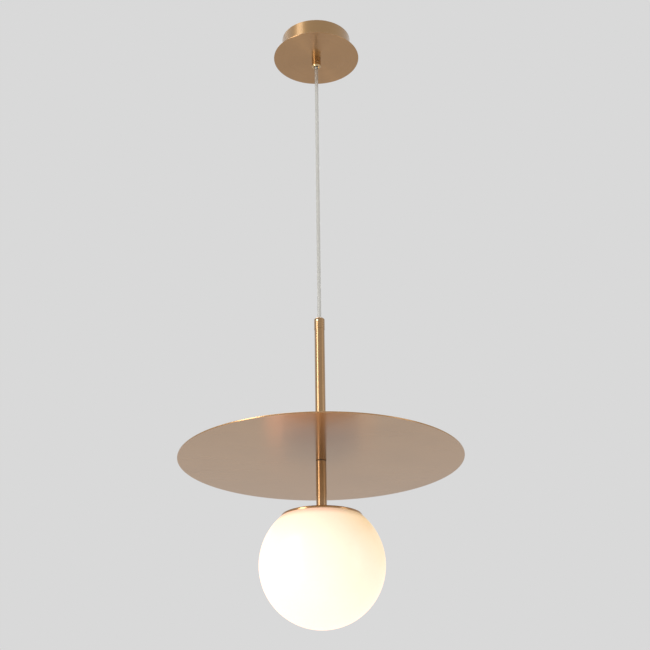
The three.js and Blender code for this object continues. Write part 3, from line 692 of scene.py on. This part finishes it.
def make_globe(materials):
    low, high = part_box("globe_cap")
    wall, roof = 1.4 * MM, 1.5 * MM
    outline = [
        (NIPPLE_HOLE, high.z - roof), (high.x - wall, high.z - roof, 0.4 * MM), (high.x - wall, low.z),
        (high.x, low.z, 0.3 * MM), (high.x, high.z, 1.3 * MM), (NIPPLE_HOLE, high.z),
    ]
    cap = turned("globe_cap_turned", outline, WIDE_SIDES)
    smooth(cap)
    finish_piece(cap, materials["cap_brass"], "pendant", ["globe_cap"])

    low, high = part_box("glass_globe")
    centre = low.z + GLOBE_RADIUS
    rim = high.z - centre
    inner = GLOBE_RADIUS - GLASS_THICKNESS
    outside = sphere_arc(GLOBE_RADIUS, centre, -math.pi / 2, math.asin(rim / GLOBE_RADIUS), GLOBE_STEPS)
    inside = sphere_arc(inner, centre, math.asin(rim / inner), -math.pi / 2, GLOBE_STEPS)
    globe = turned("globe_glass", outside + inside, GLOBE_SIDES)
    smooth(globe)
    finish_piece(globe, opal_glass("opal_glass", centre, high.z), "globe", ["glass_globe"])


def sphere_arc(radius, centre, start, end, steps):
    """(radius, height) points of an arc round a centre on the axis, between two angles from level."""
    points = []
    for step in range(steps + 1):
        angle = start + (end - start) * step / steps
        points.append((max(0.0, radius * math.cos(angle)), centre + radius * math.sin(angle)))
    return points


# ---------- Hardware that shows when the globe is off ----------

def threaded_nipple(node, materials, body):
    """A hollow nipple with its thread as fine rings."""
    low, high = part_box(node)
    bore, depth = 3.2 * MM, 0.5 * MM
    count = round((high.z - low.z) / NIPPLE_PITCH)
    pitch = (high.z - low.z) / count
    outline = [(bore, low.z), (high.x - depth, low.z)]
    for ring in range(count):
        base = low.z + ring * pitch
        outline += [(high.x, base + pitch / 2), (high.x - depth, base + pitch)]
    outline.append((bore, high.z))
    nipple = turned(node + "_threaded", outline, SMALL_SIDES)
    smooth(nipple)
    finish_piece(nipple, materials["zinc"], body, [node])


def thread_wave(radius, depth, low, turns, pitch):
    """(radius, height) points up a rounded screw thread, seen from the side."""
    points = []
    for step in range(turns * THREAD_STEPS + 1):
        swell = (1 - math.cos(2 * math.pi * step / THREAD_STEPS)) / 2
        points.append((radius - depth * swell, low + pitch * step / THREAD_STEPS))
    return points


def make_lampholder(materials):
    low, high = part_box("lampholder_cap")
    outline = [
        (HOLDER_SPIGOT + CAD_GAP, low.z), (high.x, low.z, 0.4 * MM), (high.x, high.z - 6 * MM, 4 * MM),
        (high.x - 1.5 * MM, high.z - 2.5 * MM, 1.5 * MM), (8.5 * MM, high.z, 1 * MM), (NIPPLE_HOLE, high.z),
        (NIPPLE_HOLE, high.z - 4 * MM), (8 * MM, high.z - 4.5 * MM),
        (HOLDER_SPIGOT + CAD_GAP, high.z - 7 * MM),
    ]
    cap = turned("lampholder_cap_moulded", outline, ROUND_SIDES)
    smooth(cap)
    finish_piece(cap, materials["white_plastic"], "pendant", ["lampholder_cap"])

    shoulder = low.z - CAD_GAP
    low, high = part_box("lampholder_body")
    floor = high.z - 6.5 * MM
    outline = [
        (0, floor), (SHELL_OUTSIDE + CAD_GAP, floor), (SHELL_OUTSIDE + CAD_GAP, low.z, 0.5 * MM),
        (high.x, low.z, 1.2 * MM), (high.x, shoulder, 0.4 * MM), (HOLDER_SPIGOT, shoulder),
        (HOLDER_SPIGOT, high.z), (0, high.z),
    ]
    body = turned("lampholder_body_moulded", outline, ROUND_SIDES)
    smooth(body)
    finish_piece(body, materials["white_plastic"], "pendant", ["lampholder_body"])

    low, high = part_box("lampholder_thread")
    turns = int((high.z - low.z) / BULB_PITCH)
    outside = thread_wave(SHELL_OUTSIDE, 0.25 * MM, low.z, turns, BULB_PITCH)
    inside = thread_wave(SHELL_OUTSIDE - 0.4 * MM, 0.25 * MM, low.z, turns, BULB_PITCH)
    outside.append((SHELL_OUTSIDE, high.z))
    inside.append((SHELL_OUTSIDE - 0.4 * MM, high.z))
    shell = turned("lampholder_thread_rolled", outside + inside[::-1], ROUND_SIDES)
    smooth(shell)
    finish_piece(shell, materials["thread_brass"], "pendant", ["lampholder_thread"])


def make_bulb(materials):
    low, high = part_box("bulb_screw_cap")
    radius = high.x
    thread = thread_wave(radius, 0.8 * MM, low.z + 4 * MM, 5, BULB_PITCH)
    outline = [(0, low.z), (radius, low.z, 0.3 * MM)] + thread
    outline += [(radius, high.z - 2.2 * MM, 1 * MM), (4.5 * MM, high.z, 0.6 * MM), (0, high.z)]
    cap = turned("bulb_screw_cap_rolled", outline, ROUND_SIDES)
    smooth(cap)
    finish_piece(cap, materials["thread_brass"], "bulb", ["bulb_screw_cap"])

    low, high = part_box("bulb_housing")
    outline = [
        (0, low.z), (20.2 * MM, low.z), (20.2 * MM, low.z + 2 * MM), (21.4 * MM, low.z + 2.1 * MM, 0.3 * MM),
        (21 * MM, low.z + 8 * MM, 12 * MM), (14.5 * MM, low.z + 21 * MM, 8 * MM),
        (8.5 * MM, low.z + 26 * MM, 3 * MM), (8 * MM, high.z, 0.4 * MM), (0, high.z),
    ]
    housing = turned("bulb_housing_moulded", outline, ROUND_SIDES)
    smooth(housing, 50)
    finish_piece(housing, materials["white_plastic"], "bulb", ["bulb_housing"])

    low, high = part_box("bulb_diffuser")
    inner = BULB_RADIUS - DIFFUSER_WALL
    centre = low.z + BULB_RADIUS
    rim = high.z - centre
    outside = sphere_arc(BULB_RADIUS, centre, -math.pi / 2, math.asin(rim / BULB_RADIUS), DIFFUSER_STEPS)
    inside = sphere_arc(inner, centre, math.asin(rim / inner), -math.pi / 2, DIFFUSER_STEPS)
    diffuser = turned("bulb_diffuser_blown", outside + inside, ROUND_SIDES)
    smooth(diffuser)
    finish_piece(diffuser, materials["diffuser"], "bulb", ["bulb_diffuser"])


def bent_strip(name, line, thickness, width):
    """A strip bent along (x, z) points that may have a rounding, as wide as said along Y."""
    middle = rounded(line + [(line[-1][0], line[0][1])])[:-1]
    upper, lower = [], []
    for i, point in enumerate(middle):
        before, after = middle[max(0, i - 1)], middle[min(len(middle) - 1, i + 1)]
        along = (after - before).normalized()
        side = Vector((-along.y, along.x)) * thickness / 2
        upper.append(point + side)
        lower.append(point - side)
    outline = lower + upper[::-1]
    shape = bmesh.new()
    layers = []
    for y in (-width / 2, width / 2):
        layers.append([shape.verts.new((point.x, y, point.y)) for point in outline])
    front, back = layers
    count = len(outline)
    for i in range(count):
        following = (i + 1) % count
        shape.faces.new((front[i], front[following], back[following], back[i]))
    for i in range(len(middle) - 1):
        far = count - 1 - i
        shape.faces.new((front[i], front[far], front[far - 1], front[i + 1]))
        shape.faces.new((back[i + 1], back[far - 1], back[far], back[i]))
    bmesh.ops.recalc_face_normals(shape, faces=shape.faces)
    mesh = bpy.data.meshes.new(name)
    shape.to_mesh(mesh)
    shape.free()
    return new_object(name, mesh)


def make_spring_carrier(materials):
    low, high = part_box("spring_carrier")
    outline = [
        (NIPPLE_HOLE, low.z), (high.x, low.z, 0.3 * MM), (high.x, high.z, 0.3 * MM), (NIPPLE_HOLE, high.z),
    ]
    carrier = turned("spring_carrier_stamped", outline, WIDE_SIDES)
    turns = [Matrix.Rotation(math.radians(90 + 120 * k), 4, "Z") for k in range(3)]
    at_rivet = Matrix.Translation((RIVET_PLACE, 0, 0))
    holes = []
    for turn in turns:
        hole = plain_bar("hole", RIVET_HOLE, low.z - 0.01, high.z + 0.01)
        holes.append(moved(hole, turn @ at_rivet))
    cut(carrier, holes)
    smooth(carrier)
    finish_piece(carrier, materials["zinc"], "pendant", ["spring_carrier"])
    level = low.z - SPRING_THICKNESS
    line = [
        (27 * MM, level), (39 * MM, level, 2.5 * MM), (42 * MM, level - 1 * MM, 2.5 * MM),
        (44.6 * MM, level - 4 * MM, 2 * MM), (44.2 * MM, level - 7 * MM, 6 * MM),
        (41.5 * MM, level - 11 * MM),
    ]
    for k, turn in enumerate(turns):
        spring = bent_strip(f"globe_spring_{k + 1}_bent", line, SPRING_THICKNESS, SPRING_WIDTH)
        hole = moved(plain_bar("hole", RIVET_HOLE, level - 2 * MM, level + 2 * MM), at_rivet)
        cut(spring, [hole])
        moved(spring, turn)
        smooth(spring)
        finish_piece(spring, materials["spring"], "pendant", [f"globe_spring_{k + 1}"])
        head_top = level - SPRING_THICKNESS
        outline = [
            (0, head_top - 1 * MM), (2.4 * MM, head_top - 1 * MM, 0.9 * MM), (2.4 * MM, head_top, 0.05 * MM),
            (1.2 * MM, head_top), (1.2 * MM, high.z, 0.2 * MM), (0, high.z),
        ]
        rivet = turned(f"spring_rivet_{k + 1}_domed", outline, SMALL_SIDES)
        moved(rivet, turn @ at_rivet)
        smooth(rivet)
        finish_piece(rivet, materials["zinc"], "pendant", [f"spring_rivet_{k + 1}"])


# ---------- Carried-over CAD nodes ----------

def smooth_by_angle(angle):
    """A modifier's node group that shades faces smooth and keeps edges sharper than the angle."""
    group = bpy.data.node_groups.new("smooth_by_angle", "GeometryNodeTree")
    group.interface.new_socket("Geometry", in_out="INPUT", socket_type="NodeSocketGeometry")
    group.interface.new_socket("Geometry", in_out="OUTPUT", socket_type="NodeSocketGeometry")
    start = group.nodes.new("NodeGroupInput")
    end = group.nodes.new("NodeGroupOutput")
    faces = group.nodes.new("GeometryNodeSetShadeSmooth")
    edges = group.nodes.new("GeometryNodeSetShadeSmooth")
    edges.domain = "EDGE"
    steepness = group.nodes.new("GeometryNodeInputMeshEdgeAngle")
    gentle = group.nodes.new("FunctionNodeCompare")
    gentle.operation = "LESS_THAN"
    gentle.inputs[1].default_value = math.radians(angle)
    group.links.new(steepness.outputs["Unsigned Angle"], gentle.inputs[0])
    group.links.new(start.outputs[0], faces.inputs["Geometry"])
    group.links.new(faces.outputs["Geometry"], edges.inputs["Geometry"])
    group.links.new(gentle.outputs[0], edges.inputs["Shade Smooth"])
    group.links.new(edges.outputs["Geometry"], end.inputs[0])
    return group


def dress(node, material, shading, bevel=0.15 * MM):
    """Gives a CAD node that stays visible its material, fine rounded edges and smooth round faces."""
    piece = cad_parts[node]
    piece.data.materials.clear()
    piece.data.materials.append(material)
    weld = piece.modifiers.new("weld", "WELD")
    weld.merge_threshold = 0.00001
    edge = piece.modifiers.new("bevel", "BEVEL")
    edge.width = bevel
    edge.segments = 2
    edge.limit_method = "ANGLE"
    edge.angle_limit = math.radians(50)
    clean = piece.modifiers.new("clean", "WELD")
    clean.merge_threshold = SLIVER
    smoothing = piece.modifiers.new("smooth", "NODES")
    smoothing.node_group = shading


def dress_hardware(materials):
    looks = {
        "zinc": [
            "ceiling_bracket", "canopy_lock_washer", "canopy_nut", "cap_nut",
            "bulb_contact", "bulb_led_board",
        ],
        "spring": ["lampholder_contact"],
        "thread_brass": ["terminal_screw_1", "terminal_screw_2", "terminal_screw_3", "terminal_screw_4"],
        "white_plastic": ["terminal_block"],
        "brown_lead": ["canopy_lead_live", "stem_lead_live"],
        "blue_lead": ["canopy_lead_neutral", "stem_lead_neutral"],
        "clear_pvc": ["cord_upper_end", "cord_bend", "cord_lower_end"],
    }
    shading = smooth_by_angle(50)
    for look, nodes in looks.items():
        for node in nodes:
            dress(node, materials[look], shading)


def make_materials():
    return {
        "disc_brass": brushed_brass("disc_brass", 0.25, 700, 4, 0.96, BRASS),
        # Painted shade: a darker copy of the disc's brass.
        "plate_brass_shaded": brushed_brass("plate_brass_shaded", 0.30, 1500, 8, 0.88, PLATE_BRASS_SHADED),
        # Painted shade: a darker, less red copy of the disc's brass.
        "cup_brass_shaded": brushed_brass("cup_brass_shaded", 0.34, 1500, 8, 0.4, CUP_BRASS_SHADED),
        # Painted shade: a darker copy of the disc's brass.
        "stem_brass_shaded": brushed_brass("stem_brass_shaded", 0.30, 1500, 8, 0.7, STEM_BRASS_SHADED),
        "cap_brass": brushed_brass("cap_brass", 0.24, 1500, 8, 0.5, BRASS),
        # Painted light: a lighter, yellower copy of the disc's brass.
        "grip_brass": brushed_brass("grip_brass", 0.17, 1500, 8, 0.3, GRIP_BRASS_LIT),
        # Painted shade: the stem's darker copy of the brass.
        "stem_grip_brass_shaded": brushed_brass("stem_grip_brass_shaded", 0.28, 1500, 8, 0.5, STEM_BRASS_SHADED),
        # Partly painted highlight: the screws' paler brass stands for the lit edges of their slots. Partly it
        # is a paler nickel-brass.
        "screw_brass": plain_metal("screw_brass", (0.70, 0.57, 0.38), (0.60, 0.48, 0.31), 0.22, 600.0),
        "thread_brass": plain_metal("thread_brass", (0.70, 0.50, 0.22), (0.58, 0.40, 0.17), 0.3),
        "zinc": plain_metal("zinc", (0.56, 0.57, 0.58), (0.46, 0.47, 0.48), 0.35),
        "spring": plain_metal("spring", (0.38, 0.39, 0.40), (0.28, 0.29, 0.30), 0.3),
        "white_plastic": moulded("white_plastic", (0.84, 0.83, 0.79), (0.80, 0.78, 0.74), 0.45),
        "diffuser": moulded("diffuser", (0.9, 0.89, 0.86), (0.86, 0.85, 0.82), 0.5, 1400.0, 2.2),
        "fibre": moulded("fibre", (0.16, 0.105, 0.06), (0.20, 0.135, 0.08), 0.8),
        "brown_lead": moulded("brown_lead", (0.14, 0.06, 0.025), (0.12, 0.05, 0.02), 0.4),
        "blue_lead": moulded("blue_lead", (0.03, 0.11, 0.33), (0.025, 0.09, 0.28), 0.4),
        "clear_pvc": clear_pvc("clear_pvc"),
    }


make_camera()
materials = make_materials()
make_cord(materials)
make_stage()
make_canopy(materials)
cord_grip(
    materials, "canopy_grip_barrel", "canopy_cord_grip", "canopy_grip_grub", "canopy_grip_screw",
    False, 1.8 * MM, 4.9 * MM, 4.1 * MM, "ceiling_canopy",
)
cord_grip(
    materials, "stem_grip_barrel", "stem_cord_grip", "stem_grip_grub", "stem_grip_screw",
    True, 1.2 * MM, 5.9 * MM, 3.1 * MM, "pendant",
)
make_stem(materials)
make_globe(materials)
for nipple, rides_on in NIPPLES.items():
    threaded_nipple(nipple, materials, rides_on)
make_spring_carrier(materials)
make_lampholder(materials)
make_bulb(materials)
dress_hardware(materials)
